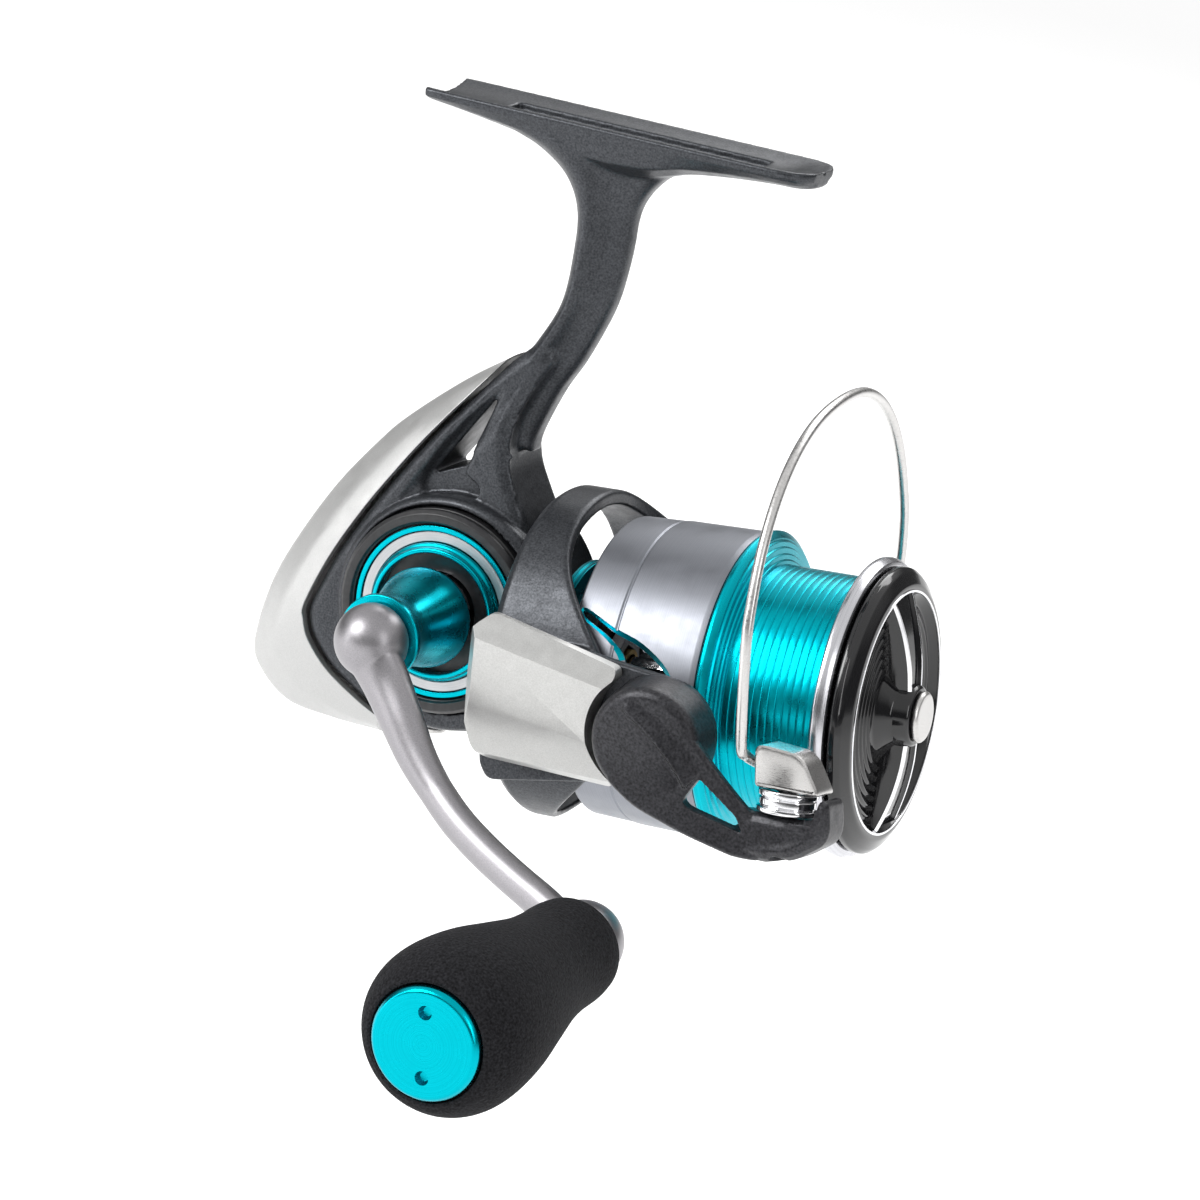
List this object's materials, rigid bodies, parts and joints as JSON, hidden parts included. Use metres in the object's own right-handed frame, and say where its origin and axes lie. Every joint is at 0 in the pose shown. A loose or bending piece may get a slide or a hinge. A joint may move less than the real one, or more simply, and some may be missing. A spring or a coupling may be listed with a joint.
{
  "type": "spinning reel",
  "caption": "Spinning fishing reel with a turning rotor and folding bail, a stroking spool with a drag knob, and a crank handle with a long round knob.",
  "frame": {"origin": "on the flat floor of the reel foot, close to its rear end, on the middle plane", "axes": "+Z out of the foot's seat towards the rod, +X forwards along the rod towards the spool, +Y to the side away from the handle"},
  "size_m": [0.1123, 0.1429, 0.1187],
  "materials": {
    "black_paint": "satin black paint with a fine sand texture over the casting",
    "black_plastic": "moulded black plastic",
    "pearl_silver": "satin pearl silver paint",
    "satin_silver": "satin bare metal, finely brushed",
    "cyan_anodised": "satin cyan anodising over turned aluminium",
    "grey_anodised": "grey anodising, finely turned",
    "gunmetal": "satin gunmetal finish on a machined arm",
    "polished_steel": "polished stainless steel",
    "brass": "machined brass",
    "zinc": "die-cast zinc alloy, machined where it runs",
    "felt": "pressed and greased drag felt",
    "foam": "closed-cell EVA foam with an open grain"
  },
  "bodies": {
    "frame": {"body_frame": "black_paint", "rear_guard": "pearl_silver", "guard_screw": "polished_steel", "engine_plate": "black_plastic", "trim_ring_outer": "cyan_anodised", "trim_band": "satin_silver", "trim_ring_inner": "cyan_anodised", "gear_bearing_near": "polished_steel", "gear_bearing_far": "polished_steel", "socket_cap": "black_plastic", "seal_ring": "cyan_anodised", "front_bearing": "polished_steel", "one_way_clutch": "zinc", "pinion_bush": "brass", "guide_rod": "polished_steel", "osc_post": "polished_steel"},
    "handle": {"drive_gear": "zinc", "handle_shank": "cyan_anodised", "handle_bolt": "polished_steel", "handle_arm": "gunmetal", "knob_spindle": "polished_steel"},
    "knob": {"knob_grip": "foam", "knob_core": "black_plastic", "knob_bearing_inner": "polished_steel", "knob_bearing_outer": "polished_steel", "knob_end_cap": "cyan_anodised"},
    "oscillator": {"osc_gear": "brass"},
    "rotor": {"pinion_gear": "brass", "clutch_sleeve": "polished_steel", "rotor_frame": "black_paint", "rotor_nut": "zinc", "arm_cover_near": "pearl_silver", "arm_cover_far": "pearl_silver", "bail_spring": "polished_steel", "bail_screw_near": "polished_steel", "bail_screw_far": "polished_steel"},
    "bail": {"bail_lever": "black_paint", "far_lever": "black_paint", "wire_holder": "satin_silver", "bail_wire": "satin_silver", "roller_bolt": "polished_steel", "roller_bearing": "polished_steel"},
    "roller": {"line_roller": "polished_steel"},
    "shaft": {"main_shaft": "polished_steel", "slider": "zinc", "click_gear": "black_plastic"},
    "spool": {"spool_skirt": "grey_anodised", "spool_arbor": "cyan_anodised", "spool_lip": "polished_steel", "spool_bearing": "polished_steel", "drag_plate": "polished_steel", "drag_retainer": "polished_steel", "drag_felt": "felt"},
    "drag": {"drag_knob": "black_plastic", "drag_nut": "brass", "knob_button": "satin_silver", "drag_spring": "polished_steel"}
  },
  "joints": [
    {"name": "handle_turn", "type": "hinge", "parent": "frame", "child": "handle", "pos_m": [0.01249, 0, -0.07747], "axis": [0, 1, 0], "continuous": true},
    {"name": "knob_spin", "type": "hinge", "parent": "handle", "child": "knob", "pos_m": [0.06179, 0, -0.10526], "axis": [0, 1, 0], "continuous": true},
    {"name": "osc_turn", "type": "hinge", "parent": "frame", "child": "oscillator", "pos_m": [0.00106, 0, -0.08274], "axis": [0, 1, 0], "continuous": true},
    {"name": "rotor_spin", "type": "hinge", "parent": "frame", "child": "rotor", "pos_m": [0.01313, 0, -0.08383], "axis": [0.995, 0, 0.1], "continuous": true},
    {"name": "bail_swing", "type": "hinge", "parent": "rotor", "child": "bail", "pos_m": [0.0583, 0, -0.07929], "axis": [-0.0052, 0.9986, 0.0521], "range_deg": [0, 105]},
    {"name": "roller_spin", "type": "hinge", "parent": "bail", "child": "roller", "pos_m": [0.08108, -0.03118, -0.08398], "axis": [-0.0989, 0.1478, 0.9841], "continuous": true},
    {"name": "spool_stroke", "type": "slide", "parent": "frame", "child": "shaft", "axis": [0.995, 0, 0.1], "range_m": [0, 0.013]},
    {"name": "spool_spin", "type": "hinge", "parent": "shaft", "child": "spool", "pos_m": [0.01313, 0, -0.08383], "axis": [0.995, 0, 0.1], "continuous": true},
    {"name": "drag_turn", "type": "hinge", "parent": "spool", "child": "drag", "pos_m": [0.01313, 0, -0.08383], "axis": [0.995, 0, 0.1], "range_deg": [-360, 360]}
  ],
  "couplings": [
    {"joint": "osc_turn", "follows": "handle_turn", "ratio": -0.4},
    {"joint": "rotor_spin", "follows": "handle_turn", "ratio": 5.1429}
  ]
}
